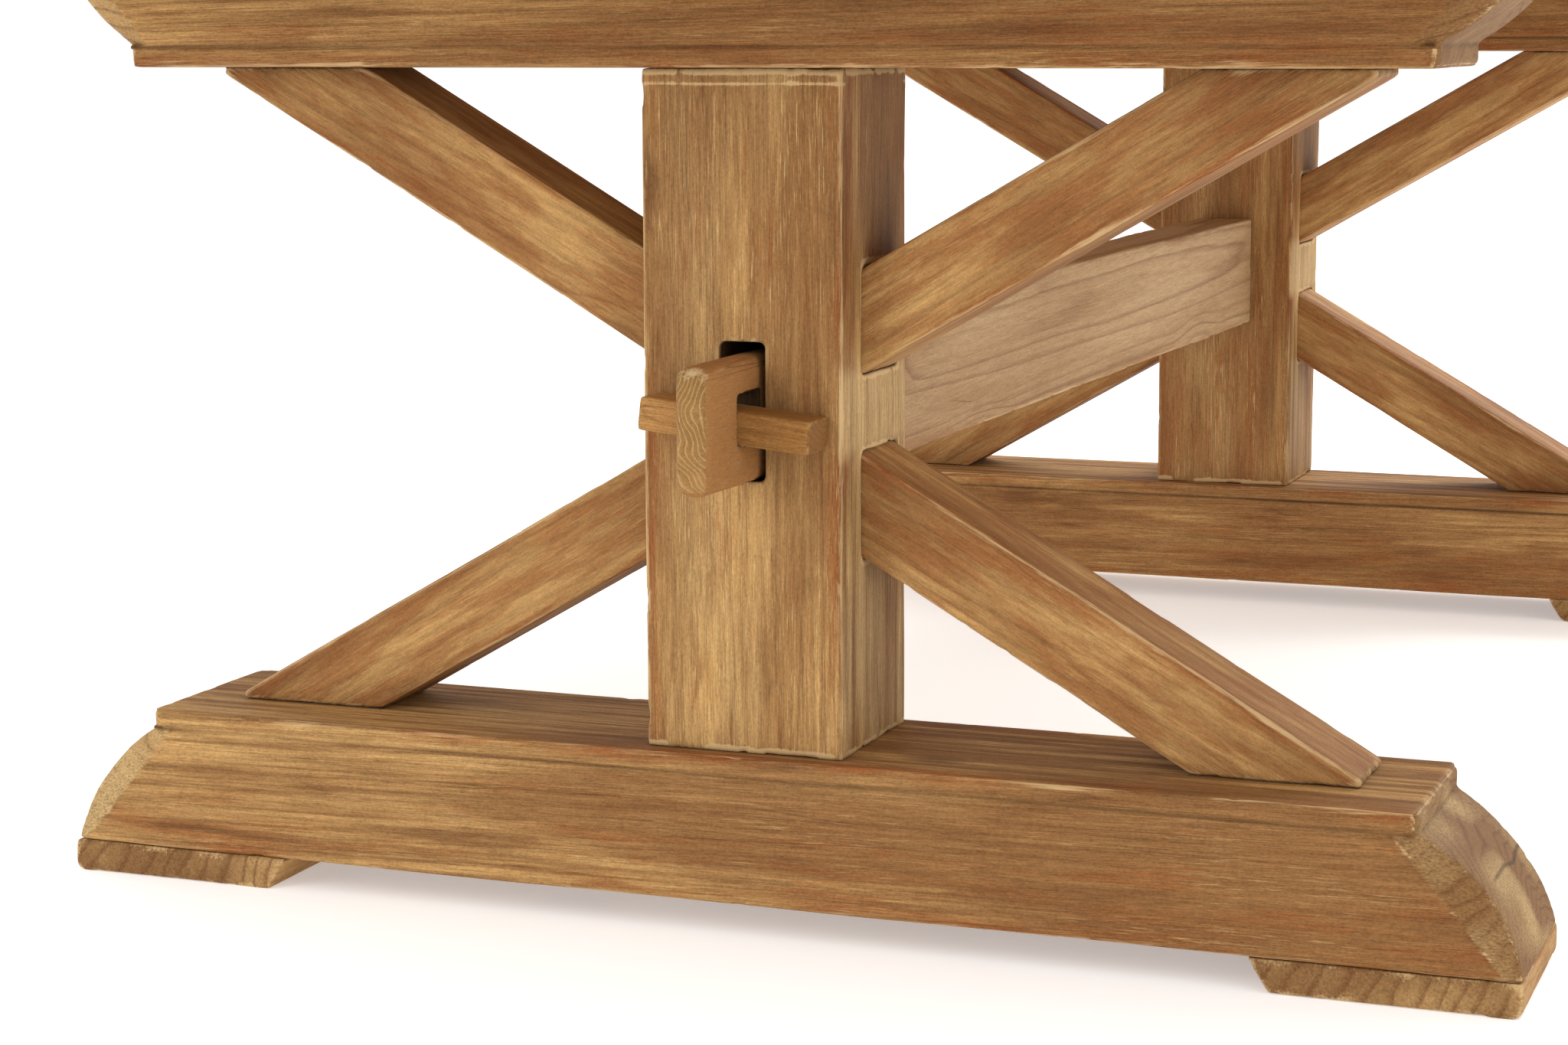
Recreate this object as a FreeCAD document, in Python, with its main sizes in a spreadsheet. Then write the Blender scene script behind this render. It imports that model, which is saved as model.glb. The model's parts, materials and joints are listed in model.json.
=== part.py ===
import FreeCAD, Part
import math
import os

import Sketcher
from FreeCAD import Placement, Rotation, Vector

# Knock-down trestle table: two braced trestles, a wedged stretcher and a plank top.
# X runs across the table, Y along it and Z up, with the origin on the floor under its middle.

# Driving sizes, in millimetres and degrees
SIZES = {
    # Foot and cleat: one beam profile, used upright below and upside down above
    "beamDepth": 164,
    "beamBodyHeight": 95,
    "beamStripHeight": 13,
    "beamStripLength": 960,
    "beamEndRun": 71,
    "beamEndBulge": 13,
    "quirkHeight": 3,
    "quirkDepth": 4,
    "facetTopInset": 17,
    "facetBottomInset": 10,
    "facetAngle": 22,
    # Pads under the ends of each foot
    "padHeight": 24,
    "padLength": 184,
    "padBevel": 15,
    "padCornerRadius": 7,
    "padScrewDiameter": 5,
    "padScrewHeadDiameter": 10,
    "padScrewHeadHeight": 4,
    "padScrewLength": 58,
    "padScrewRecess": 3,
    "padScrewEdge": 50,
    "padScrewPitch": 80,
    # Post
    "postWidth": 150,
    "postDepth": 135,
    "postRise": 482,
    "stubWidth": 80,
    "stubThickness": 45,
    "stubLength": 50,
    "stubRoom": 0.5,
    # Braces
    "braceAngle": 30,
    "braceWidth": 64,
    "braceDepth": 75,
    "braceShift": 12,
    "braceReach": 442,
    "braceBlunt": 6,
    "braceHousing": 10,
    "dowelDiameter": 10,
    "dowelDepth": 26,
    "dowelInset": 38,
    # Stretcher and the wedges through its tenons
    "stretcherHeight": 115,
    "stretcherThickness": 60,
    "tenonHeight": 89,
    "tenonThickness": 24,
    "tenonReach": 96,
    "tenonEase": 7,
    "lowerShoulder": 12,
    "slotRise": 195,
    "slotSideRoom": 5,
    "slotTopRoom": 9,
    "wedgeLength": 130,
    "wedgeHeight": 24,
    "wedgeDepth": 35,
    "wedgeTaper": 4,
    "wedgeEase": 2,
    "wedgeTilt": 5.7,
    "keyholeRise": 29.5,
    "keyholeTopRoom": 9,
    "keyholeBackRoom": 6,
    "slideFit": 0.3,
    # Top
    "boardWidth": 230,
    "topThickness": 40,
    "topLength": 2134,
    "topOverhang": 341.5,
    "breadboardWidth": 140,
    "tongueThickness": 14,
    "tongueLength": 42,
    "tongueStop": 45,
    "tongueRoom": 0.5,
    "pegDiameter": 12,
    # Screws that hold the top to the cleats
    "lagDiameter": 8,
    "lagHeadWidth": 13,
    "lagHeadHeight": 5.5,
    "lagGrip": 28,
    "lagTipRoom": 0.5,
    "lagBoreDiameter": 24,
    "lagBoreDepth": 48,
    "lagInnerEdge": 20,
    "lagOuterEdge": 20,
    "washerDiameter": 20,
    "washerThickness": 1.6,
    # Room around a turned pin in its hole, on the diameter
    "pinFit": 0.2,
    # How far a cutting shape runs past the wood
    "overcut": 5,
}
BOARDS = range(1, 6)

# Places worked out from the driving sizes
LAYOUT = {
    "beamHeight": "Sizes.beamBodyHeight + Sizes.beamStripHeight",
    "beamSide": "Sizes.beamDepth / 2",
    "stripEnd": "Sizes.beamStripLength / 2",
    "beamEnd": "stripEnd + Sizes.beamEndRun",
    "curveTop": "Sizes.beamBodyHeight - Sizes.quirkHeight",
    "quirkEnd": "stripEnd - Sizes.quirkDepth",
    "quirkSide": "beamSide - Sizes.quirkDepth",
    "quirkOuter": "beamSide + Sizes.overcut",
    "curveChord": "sqrt(Sizes.beamEndRun ^ 2 + curveTop ^ 2)",
    "curveRadius": "curveChord ^ 2 / (8 * Sizes.beamEndBulge) + Sizes.beamEndBulge / 2",
    "beamSpan": "2 * (beamEnd + Sizes.overcut)",
    "facetBase": "beamEnd - Sizes.facetBottomInset",
    "facetLean": "facetBase - stripEnd + Sizes.facetTopInset",
    "facetApex": "facetBase - Sizes.overcut / tan(Sizes.facetAngle)",
    "facetFar": "facetBase + beamSide",
    "facetOut": "beamSide + Sizes.overcut",
    "facetIn": "beamSide - beamSide * tan(Sizes.facetAngle)",
    "footTop": "Sizes.padHeight + beamHeight",
    "cleatBottom": "footTop + Sizes.postRise",
    "cleatTop": "cleatBottom + beamHeight",
    "padInner": "beamEnd - Sizes.padLength",
    "padHeel": "padInner + Sizes.padBevel",
    "padRound": "beamEnd - Sizes.padCornerRadius",
    "padScrewOuter": "beamEnd - Sizes.padScrewEdge",
    "padScrewInner": "padScrewOuter - Sizes.padScrewPitch",
    "padScrewPilot": "Sizes.padScrewRecess + Sizes.padScrewLength + Sizes.pinFit - Sizes.padHeight",
    "padScrewHole": "Sizes.padScrewDiameter + Sizes.pinFit",
    "padScrewBore": "Sizes.padScrewHeadDiameter + Sizes.pinFit",
    "postSide": "Sizes.postWidth / 2",
    "postFace": "Sizes.postDepth / 2",
    "postSpan": "Sizes.postRise + 2 * Sizes.stubLength",
    "stubFoot": "footTop - Sizes.stubLength",
    "mortiseWidth": "Sizes.stubWidth + 2 * Sizes.stubRoom",
    "mortiseThickness": "Sizes.stubThickness + 2 * Sizes.stubRoom",
    "mortiseDepth": "Sizes.stubLength + Sizes.stubRoom",
    "mortiseFloor": "beamHeight - mortiseDepth",
    "braceHeel": "Sizes.braceReach - Sizes.braceWidth / sin(Sizes.braceAngle)",
    "braceTip": "Sizes.braceReach - Sizes.braceBlunt / tan(Sizes.braceAngle)",
    "braceRoot": "postSide - Sizes.braceHousing",
    "braceOuterRise": "(Sizes.braceReach - braceRoot) * tan(Sizes.braceAngle)",
    "braceInnerRise": "(braceHeel - braceRoot) * tan(Sizes.braceAngle)",
    "dowelX": "braceHeel + Sizes.dowelInset",
    "dowelHole": "Sizes.dowelDiameter + Sizes.pinFit",
    "dowelHoleDepth": "Sizes.dowelDepth + Sizes.pinFit",
    "dowelHoleSpan": "2 * dowelHoleDepth",
    "dowelLength": "2 * Sizes.dowelDepth",
    "dowelFloor": "beamHeight - dowelHoleDepth",
    "trestleY": "Sizes.topLength / 2 - Sizes.topOverhang",
    "trestleSpacing": "2 * trestleY",
    "slotBottom": "footTop + Sizes.slotRise",
    "slotWidth": "Sizes.tenonThickness + 2 * Sizes.slotSideRoom",
    "slotHeight": "Sizes.tenonHeight + Sizes.slotTopRoom",
    "slotSpan": "Sizes.postDepth + 2 * Sizes.overcut",
    "tenonSide": "Sizes.tenonThickness / 2",
    "tenonTop": "slotBottom + Sizes.tenonHeight",
    "tenonSpan": "trestleSpacing + Sizes.postDepth + 2 * Sizes.tenonReach",
    "shoulderSpan": "trestleSpacing - Sizes.postDepth",
    "stretcherBottom": "slotBottom - Sizes.lowerShoulder",
    "postOuter": "trestleY + postFace",
    "wedgeBack": "postOuter + Sizes.slideFit",
    "wedgeEnd": "Sizes.wedgeLength / 2",
    "wedgeThin": "Sizes.wedgeDepth - Sizes.wedgeTaper / 2",
    "wedgeThick": "Sizes.wedgeDepth + Sizes.wedgeTaper / 2",
    "keyholeSide": "Sizes.tenonThickness / 2 + Sizes.overcut",
    "keyholeBack": "postOuter - Sizes.keyholeBackRoom",
    "keyholeMean": "wedgeBack + Sizes.wedgeDepth + Sizes.slideFit",
    "keyholeSkew": "Sizes.wedgeTaper * keyholeSide / Sizes.wedgeLength",
    "keyholeThin": "keyholeMean - keyholeSkew",
    "keyholeThick": "keyholeMean + keyholeSkew",
    "keyholeBottom": "slotBottom + Sizes.keyholeRise",
    "wedgeDrop": "Sizes.tenonThickness * tan(Sizes.wedgeTilt)",
    "wedgeStand": "Sizes.wedgeHeight / cos(Sizes.wedgeTilt)",
    "keyholeHeight": "wedgeStand + wedgeDrop + Sizes.keyholeTopRoom",
    "keyholeMiddle": "keyholeBottom + keyholeHeight / 2",
    "wedgeMiddle": "keyholeBottom + Sizes.slideFit + (wedgeDrop + wedgeStand) / 2",
    "topWidth": f"{len(BOARDS)} * Sizes.boardWidth",
    "topEnd": "Sizes.topLength / 2",
    "breadboardInner": "topEnd - Sizes.breadboardWidth",
    "boardLength": "2 * breadboardInner",
    "tongueTip": "breadboardInner + Sizes.tongueLength",
    "tongueSpan": "2 * tongueTip",
    "tongueWidth": "Sizes.boardWidth - Sizes.tongueStop",
    "tongueBottom": "cleatTop + (Sizes.topThickness - Sizes.tongueThickness) / 2",
    "grooveWidth": "topWidth - 2 * Sizes.tongueStop + 2 * Sizes.tongueRoom",
    "grooveDepth": "Sizes.tongueLength + Sizes.tongueRoom + Sizes.overcut",
    "grooveThickness": "Sizes.tongueThickness + 2 * Sizes.tongueRoom",
    "grooveBottom": "tongueBottom - Sizes.tongueRoom",
    "grooveMiddle": "tongueTip + Sizes.tongueRoom - grooveDepth / 2",
    "breadboardMiddle": "topEnd - Sizes.breadboardWidth / 2",
    "pegY": "breadboardInner + Sizes.tongueLength / 2",
    "pegHole": "Sizes.pegDiameter + Sizes.pinFit",
    "lagInner": "postSide + Sizes.lagInnerEdge",
    "lagOuter": "stripEnd - Sizes.lagOuterEdge",
    "lagHole": "Sizes.lagDiameter + Sizes.pinFit",
    "lagSeat": "cleatBottom + Sizes.lagBoreDepth",
    "washerTop": "lagSeat - Sizes.washerThickness",
    "lagHeadBottom": "washerTop - Sizes.lagHeadHeight",
    "lagShank": "cleatTop - washerTop + Sizes.lagGrip",
    "lagCorner": "Sizes.lagHeadWidth / (2 * cos(30))",
    "lagPilotDepth": "Sizes.lagGrip + Sizes.lagTipRoom",
    "beamLagSeat": "beamHeight - Sizes.lagBoreDepth",
}

# Boards are numbered from the left; the tongue of an outer board is narrowed on its outer side
middle_board = (BOARDS[0] + BOARDS[-1]) // 2
for board in BOARDS:
    LAYOUT[f"boardMiddle{board}"] = f"{board - middle_board} * Sizes.boardWidth"
    stop = {BOARDS[0]: "+ Sizes.tongueStop / 2", BOARDS[-1]: "- Sizes.tongueStop / 2"}.get(board, "")
    LAYOUT[f"tongueMiddle{board}"] = f"boardMiddle{board} {stop}"

# Screws into each board: two beside the post, one near each end of the cleat and the others midway
LAG_PLACES = {board: [f"boardMiddle{board}"] for board in BOARDS}
LAG_PLACES[BOARDS[0]] = ["-lagOuter"]
LAG_PLACES[middle_board] = ["-lagInner", "lagInner"]
LAG_PLACES[BOARDS[-1]] = ["lagOuter"]
ALL_LAGS = [place for places in LAG_PLACES.values() for place in places]

doc = FreeCAD.newDocument("TrestleTable")


def fill_sheet(name, cells):
    sheet = doc.addObject("Spreadsheet::Sheet", name)
    for row, (alias, content) in enumerate(cells.items(), start=1):
        sheet.set(f"A{row}", alias)
        sheet.set(f"B{row}", content)
        sheet.setAlias(f"B{row}", alias)
    doc.recompute()
    return sheet


sizes = fill_sheet("Sizes", {alias: str(value) for alias, value in SIZES.items()})
layout = fill_sheet("Layout", {alias: f"={formula}" for alias, formula in LAYOUT.items()})


# A term is a cell's alias, with a minus sign in front for the opposite side
def term(text):
    alias = text.lstrip("-")
    sheet = sizes if alias in SIZES else layout
    sign = "-" if text.startswith("-") else ""
    number = sheet.get(alias)
    return (-number if sign else number), f"{sign}{sheet.Name}.{alias}"


def flip(text):
    return text[1:] if text.startswith("-") else f"-{text}"


def signed(sign, text):
    return text if sign > 0 else flip(text)


def bind(item, **places):
    for path, text in places.items():
        item.setExpression(path.replace("_", "."), term(text)[1])


def move(item, **places):
    for axis, text in places.items():
        item.setExpression(f"Placement.Base.{axis}", term(text)[1])
    return item


def half(text):
    return f"{term(text)[1]} / 2"


# A closed outline: each corner is a pair of terms, None on an axis.
# Rounded stretches are named by the corner that they start from, counter-clockwise.
def draw_outline(sketch, corners, radii):
    spots = [Vector(*(term(text)[0] if text else 0 for text in corner), 0) for corner in corners]
    count = len(spots)
    for index, start in enumerate(spots):
        end = spots[(index + 1) % count]
        if index in radii:
            radius = term(radii[index])[0]
            chord = end - start
            middle = (start + end) / 2
            inward = Vector(-chord.y, chord.x, 0).normalize()
            centre = middle + inward * math.sqrt(radius ** 2 - chord.Length ** 2 / 4)
            first = math.atan2(start.y - centre.y, start.x - centre.x)
            last = math.atan2(end.y - centre.y, end.x - centre.x)
            last += 2 * math.pi if last < first else 0
            sketch.addGeometry(Part.ArcOfCircle(Part.Circle(centre, Vector(0, 0, 1), radius), first, last))
        else:
            sketch.addGeometry(Part.LineSegment(start, end))
    for index in range(count):
        sketch.addConstraint(Sketcher.Constraint("Coincident", index, 2, (index + 1) % count, 1))
    for index, corner in enumerate(corners):
        for kind, axis, text in zip(("DistanceX", "DistanceY"), (-2, -1), corner):
            if text:
                number, expression = term(text)
                place = sketch.addConstraint(Sketcher.Constraint(kind, -1, 1, index, 1, number))
                sketch.setExpression(f"Constraints[{place}]", expression)
            else:
                sketch.addConstraint(Sketcher.Constraint("PointOnObject", index, 1, axis))
    for index, text in radii.items():
        number, expression = term(text)
        place = sketch.addConstraint(Sketcher.Constraint("Radius", index, number))
        sketch.setExpression(f"Constraints[{place}]", expression)


# A body padded both ways from an outline on one of its own planes.
# The origin of the outline may stand off the body's origin, in the plane and out of it.
def pad_body(name, plane, corners, length, radii=None, up=None, out=None, ease=None):
    body = doc.addObject("PartDesign::Body", name)
    sketch = body.newObject("Sketcher::SketchObject", f"{name}_outline")
    planes = {feature.Role: feature for feature in body.Origin.OriginFeatures}
    sketch.AttachmentSupport = [(planes[plane], "")]
    sketch.MapMode = "FlatFace"
    if up:
        sketch.setExpression("AttachmentOffset.Base.y", term(up)[1])
    if out:
        sketch.setExpression("AttachmentOffset.Base.z", term(out)[1])
    draw_outline(sketch, corners, radii or {})
    pad = body.newObject("PartDesign::Pad", f"{name}_pad")
    pad.Profile = sketch
    pad.SideType = "Symmetric"
    bind(pad, Length=length)
    if ease:
        doc.recompute()
        fillet = body.newObject("PartDesign::Fillet", f"{name}_ease")
        fillet.Base = (pad, [""])
        fillet.UseAllEdges = True
        bind(fillet, Radius=ease)
    return body


# A box centred on the Z axis of its place, standing on its own bottom face
def block(name, width, depth, height, x=None, y=None, z=None):
    box = doc.addObject("Part::Box", name)
    bind(box, Length=width, Width=depth, Height=height)
    for axis, side, text in (("x", width, x), ("y", depth, y)):
        middle = f"{term(text)[1]} " if text else ""
        box.setExpression(f"Placement.Base.{axis}", f"{middle}- {half(side)}")
    if z:
        move(box, z=z)
    return box


# An upright pin or hole
def pin(name, diameter, height, **places):
    cylinder = doc.addObject("Part::Cylinder", name)
    cylinder.setExpression("Radius", half(diameter))
    bind(cylinder, Height=height)
    return move(cylinder, **places)


def join(name, pieces):
    fuse = doc.addObject("Part::MultiFuse", name)
    fuse.Shapes = pieces
    return fuse


def cut(name, wood, tools):
    result = doc.addObject("Part::Cut", name)
    result.Base = wood
    result.Tool = tools[0] if len(tools) == 1 else join(f"{name}_cuts", tools)
    return result


def group(name, pieces):
    compound = doc.addObject("Part::Compound", name)
    compound.Links = pieces
    return compound


nodes = []


def node(item, label, **places):
    item.Label = label
    move(item, **places)
    nodes.append(item)
    return item


SIDES = {"left": -1, "right": 1}
LEVELS = {"lower": 1, "upper": -1}
ENDS = {"front": -1, "rear": 1}


# The shared profile of foot and cleat, standing on its plain face with the strip on top
def beam_blank(name):
    right = [("beamEnd", None), ("stripEnd", "curveTop"), ("quirkEnd", "curveTop"),
             ("quirkEnd", "beamBodyHeight"), ("stripEnd", "beamBodyHeight"), ("stripEnd", "beamHeight")]
    left = [(flip(across), up) for across, up in reversed(right)]
    radii = {0: "curveRadius", len(right) + len(left) - 2: "curveRadius"}
    return pad_body(name, "XZ_Plane", right + left, "beamDepth", radii)


# The groove under the strip along one long side
def quirk_cut(name, sign):
    corners = [("quirkSide", "curveTop"), ("quirkOuter", "curveTop"),
               ("quirkOuter", "beamBodyHeight"), ("quirkSide", "beamBodyHeight")]
    sided = [(signed(sign, along), up) for along, up in corners]
    return pad_body(name, "YZ_Plane", sided, "beamSpan")


# The flat facet at one corner, cut below the strip along a slanting line
def facet_cut(name, across, along):
    sketch = doc.addObject("Sketcher::SketchObject", f"{name}_outline")
    corners = [("facetApex", "-facetOut"), ("facetFar", "-facetOut"), ("facetFar", "-facetIn")]
    draw_outline(sketch, [(signed(across, x), signed(-along, y)) for x, y in corners], {})
    slant = doc.addObject("Part::Extrusion", name)
    slant.Base = sketch
    slant.DirMode = "Custom"
    slant.Solid = True
    bind(slant, Dir_x=signed(-across, "facetLean"), Dir_z="curveTop")
    return slant


# Cuts that foot and cleat share: side grooves, corner facets, the post's mortise and the dowel holes
def beam_cuts(name):
    tools = [block(f"{name}_mortise", "mortiseWidth", "mortiseThickness", "mortiseDepth", z="mortiseFloor")]
    for along in (-1, 1):
        tools.append(quirk_cut(f"{name}_quirk_{along + 1}", along))
        for across in (-1, 1):
            tools.append(facet_cut(f"{name}_facet_{along + 1}_{across + 1}", across, along))
    for side, across in SIDES.items():
        tools.append(pin(f"{name}_dowel_{side}", "dowelHole", "dowelHoleDepth",
                         x=signed(across, "dowelX"), y="braceShift", z="dowelFloor"))
    return tools


# Screws stand point up in the pad, their heads sunk above the floor
def pad_screw(name, x):
    shank = pin(f"{name}_shank", "padScrewDiameter", "padScrewLength", x=x, z="padScrewRecess")
    head = pad_screw_cone(f"{name}_head", x, "padScrewHeadDiameter", "padScrewDiameter")
    return join(name, [head, shank])


def pad_screw_cone(name, x, wide, narrow):
    cone = doc.addObject("Part::Cone", name)
    cone.setExpression("Radius1", half(wide))
    cone.setExpression("Radius2", half(narrow))
    bind(cone, Height="padScrewHeadHeight")
    return move(cone, x=x, z="padScrewRecess")


def pad_screw_cuts(name, x):
    return [pin(f"{name}_hole", "padScrewHole", "padHeight", x=x),
            pin(f"{name}_bore", "padScrewBore", "padScrewRecess", x=x),
            pad_screw_cone(f"{name}_sink", x, "padScrewBore", "padScrewHole")]


def pad_places(across):
    return [signed(across, place) for place in ("padScrewOuter", "padScrewInner")]


def make_foot(end, y):
    name = f"foot_{end}"
    tools = beam_cuts(name)
    for side, across in SIDES.items():
        for index, x in enumerate(pad_places(across)):
            tools.append(pin(f"{name}_pilot_{side}_{index}", "padScrewHole", "padScrewPilot", x=x))
    return node(cut(name, beam_blank(f"{name}_blank"), tools), name, y=y, z="padHeight")


def make_pads(end, y):
    screws = []
    for side, across in SIDES.items():
        name = f"foot_pad_{end}_{side}"
        corners = [("padHeel", None), ("padRound", None), ("beamEnd", "padCornerRadius"),
                   ("beamEnd", "padHeight"), ("padInner", "padHeight")]
        radii = {1: "padCornerRadius"}
        if across < 0:
            corners = [(flip(x), z) for x, z in reversed(corners)]
            radii = {len(corners) - 3: "padCornerRadius"}
        blank = pad_body(f"{name}_blank", "XZ_Plane", corners, "beamDepth", radii)
        tools = []
        for index, x in enumerate(pad_places(across)):
            tools += pad_screw_cuts(f"{name}_screw_{index}", x)
            screws.append(pad_screw(f"pad_screw_{end}_{side}_{index}", x))
        node(cut(name, blank, tools), name, y=y)
    node(group(f"pad_screws_{end}", screws), f"pad_screws_{end}", y=y)


def make_cleat(end, y):
    name = f"cleat_{end}"
    tools = beam_cuts(name)
    for index, x in enumerate(ALL_LAGS):
        tools.append(pin(f"{name}_lag_{index}", "lagHole", "beamHeight", x=x))
        tools.append(pin(f"{name}_bore_{index}", "lagBoreDiameter", "lagBoreDepth", x=x, z="beamLagSeat"))
    cleat = cut(name, beam_blank(f"{name}_blank"), tools)
    cleat.Placement = Placement(Vector(), Rotation(Vector(0, 1, 0), 180))
    return node(cleat, name, y=y, z="cleatTop")


# Lag screws go up through the cleat into the boards, each on a washer at the end of its bore
def make_lags(end, y):
    screws = []
    washers = []
    for index, x in enumerate(ALL_LAGS):
        name = f"lag_{end}_{index}"
        head = doc.addObject("Part::Prism", f"{name}_head")
        bind(head, Circumradius="lagCorner", Height="lagHeadHeight")
        move(head, x=x, z="lagHeadBottom")
        shank = pin(f"{name}_shank", "lagDiameter", "lagShank", x=x, z="washerTop")
        screws.append(join(name, [head, shank]))
        disc = pin(f"{name}_disc", "washerDiameter", "washerThickness", x=x, z="washerTop")
        hole = pin(f"{name}_hole", "lagHole", "washerThickness", x=x, z="washerTop")
        washers.append(cut(f"{name}_washer", disc, [hole]))
    node(group(f"lag_screws_{end}", screws), f"lag_screws_{end}", y=y)
    node(group(f"lag_washers_{end}", washers), f"lag_washers_{end}", y=y)


# One diagonal brace: its foot on a beam, its head let into the side of the post
def brace_blank(name, across, rise):
    corners = [("braceHeel", None), ("braceTip", None), ("braceTip", "braceBlunt"),
               ("braceRoot", "braceOuterRise"), ("braceRoot", "braceInnerRise")]
    sided = [(signed(across, x), z and signed(rise, z)) for x, z in corners]
    landing = "footTop" if rise > 0 else "cleatBottom"
    return pad_body(name, "XZ_Plane", sided, "braceDepth", up=landing, out="-braceShift")


# Each dowel stands half in the beam and half in the brace
def brace_dowel(name, across, rise, diameter, length):
    cylinder = pin(name, diameter, length, x=signed(across, "dowelX"), y="braceShift")
    landing = "footTop" if rise > 0 else "cleatBottom"
    cylinder.setExpression("Placement.Base.z", f"{term(landing)[1]} - {half(length)}")
    return cylinder


def make_braces(end, y):
    blanks = []
    dowels = []
    for level, rise in LEVELS.items():
        for side, across in SIDES.items():
            name = f"brace_{end}_{level}_{side}"
            blank = brace_blank(f"{name}_blank", across, rise)
            hole = brace_dowel(f"{name}_hole", across, rise, "dowelHole", "dowelHoleSpan")
            node(cut(name, blank, [hole]), name, y=y)
            dowels.append(brace_dowel(f"{name}_dowel", across, rise, "dowelDiameter", "dowelLength"))
            blanks.append(blank)
    node(group(f"brace_dowels_{end}", dowels), f"brace_dowels_{end}", y=y)
    return blanks


# The post: a shaft with a stub tenon at each end, slotted for the stretcher and housed for the braces
def make_post(end, y, braces):
    name = f"post_{end}"
    shaft = block(f"{name}_shaft", "postWidth", "postDepth", "postRise", z="footTop")
    stubs = block(f"{name}_stubs", "stubWidth", "stubThickness", "postSpan", z="stubFoot")
    slot = block(f"{name}_slot", "slotWidth", "slotSpan", "slotHeight", z="slotBottom")
    return node(cut(name, join(f"{name}_blank", [shaft, stubs]), [slot] + braces), name, y=y)


# The keyhole through one tenon, its outer end skewed to the taper of the wedge
def keyhole_cut(name, along):
    corners = [("keyholeSide", "-keyholeThick"), ("keyholeSide", "-keyholeBack"),
               ("-keyholeSide", "-keyholeBack"), ("-keyholeSide", "-keyholeThin")]
    turned = [(signed(-along, x), signed(-along, y)) for x, y in corners]
    return pad_body(name, "XY_Plane", turned, "keyholeHeight", out="keyholeMiddle")


# The stretcher: a rail between shoulders, with one tenon bar right through it
def make_stretcher():
    rail = block("stretcher_rail", "stretcherThickness", "shoulderSpan", "stretcherHeight",
                 z="stretcherBottom")
    corners = [("-tenonSide", "slotBottom"), ("tenonSide", "slotBottom"),
               ("tenonSide", "tenonTop"), ("-tenonSide", "tenonTop")]
    tenons = pad_body("stretcher_tenons", "XZ_Plane", corners, "tenonSpan", ease="tenonEase")
    keyholes = [keyhole_cut(f"keyhole_{end}", along) for end, along in ENDS.items()]
    node(cut("stretcher", join("stretcher_blank", [rail, tenons]), keyholes), "stretcher")


# The wedge tapers towards the end that enters first, and leans down towards its thick end
def make_wedge(end, along):
    name = f"wedge_{end}"
    corners = [("-wedgeEnd", "-wedgeThin"), ("wedgeEnd", "-wedgeThick"),
               ("wedgeEnd", None), ("-wedgeEnd", None)]
    turned = [(signed(-along, x), y and signed(-along, y)) for x, y in corners]
    wedge = pad_body(name, "XY_Plane", turned, "wedgeHeight", ease="wedgeEase")
    wedge.Placement = Placement(Vector(), Rotation(Vector(0, -along, 0), SIZES["wedgeTilt"]))
    wedge.setExpression("Placement.Rotation.Angle", "Sizes.wedgeTilt")
    node(wedge, name, y=signed(along, "wedgeBack"), z="wedgeMiddle")


# Boards lie side by side, with a tongue at each end and holes for pegs and screws.
# The tongues of the two outer boards stop short of the table's edge.
def make_boards():
    for board in BOARDS:
        name = f"top_board_{board}"
        middle = f"boardMiddle{board}"
        outer = board in (BOARDS[0], BOARDS[-1])
        plank = block(f"{name}_plank", "boardWidth", "boardLength", "topThickness", x=middle, z="cleatTop")
        tongue = block(f"{name}_tongue", "tongueWidth" if outer else "boardWidth", "tongueSpan",
                       "tongueThickness", x=f"tongueMiddle{board}", z="tongueBottom")
        holes = []
        for end, along in ENDS.items():
            holes.append(pin(f"{name}_peg_{end}", "pegHole", "topThickness",
                             x=middle, y=signed(along, "pegY"), z="cleatTop"))
            for index, x in enumerate(LAG_PLACES[board]):
                holes.append(pin(f"{name}_lag_{end}_{index}", "lagHole", "lagPilotDepth",
                                 x=x, y=signed(along, "trestleY"), z="cleatTop"))
        node(cut(name, join(f"{name}_blank", [plank, tongue]), holes), name)


# A breadboard closes each end of the top, grooved for the tongues and pegged through them
def make_breadboard(end, along):
    name = f"breadboard_{end}"
    plank = block(f"{name}_plank", "topWidth", "breadboardWidth", "topThickness",
                  y=signed(along, "breadboardMiddle"), z="cleatTop")
    tools = [block(f"{name}_groove", "grooveWidth", "grooveDepth", "grooveThickness",
                   y=signed(along, "grooveMiddle"), z="grooveBottom")]
    pegs = []
    for board in BOARDS:
        place = {"x": f"boardMiddle{board}", "y": signed(along, "pegY"), "z": "cleatTop"}
        tools.append(pin(f"{name}_hole_{board}", "pegHole", "topThickness", **place))
        pegs.append(pin(f"{name}_peg_{board}", "pegDiameter", "topThickness", **place))
    node(cut(name, plank, tools), name)
    node(group(f"breadboard_pegs_{end}", pegs), f"breadboard_pegs_{end}")


def check_document():
    for item in doc.Objects:
        if {"Invalid", "Error"} & set(item.State):
            raise RuntimeError(f"{item.Label} failed: {', '.join(item.State)}")
    for item in nodes:
        if item.Shape.isNull() or not item.Shape.isValid() or not item.Shape.Solids:
            raise RuntimeError(f"{item.Label} has a bad shape")


for end, along in ENDS.items():
    y = signed(along, "trestleY")
    make_foot(end, y)
    make_pads(end, y)
    make_post(end, y, make_braces(end, y))
    make_cleat(end, y)
    make_lags(end, y)
    make_wedge(end, along)
    make_breadboard(end, along)
make_stretcher()
make_boards()

doc.recompute()
check_document()
os.makedirs("parts", exist_ok=True)
for item in nodes:
    item.Shape.exportStep(f"parts/{item.Label}.step")
    print(f"{item.Label}: {len(item.Shape.Solids)} solid(s), {item.Shape.Volume / 1000:.1f} cm3")
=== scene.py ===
import json
import math

import bpy
import numpy as np
from mathutils import Matrix, Vector


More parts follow.
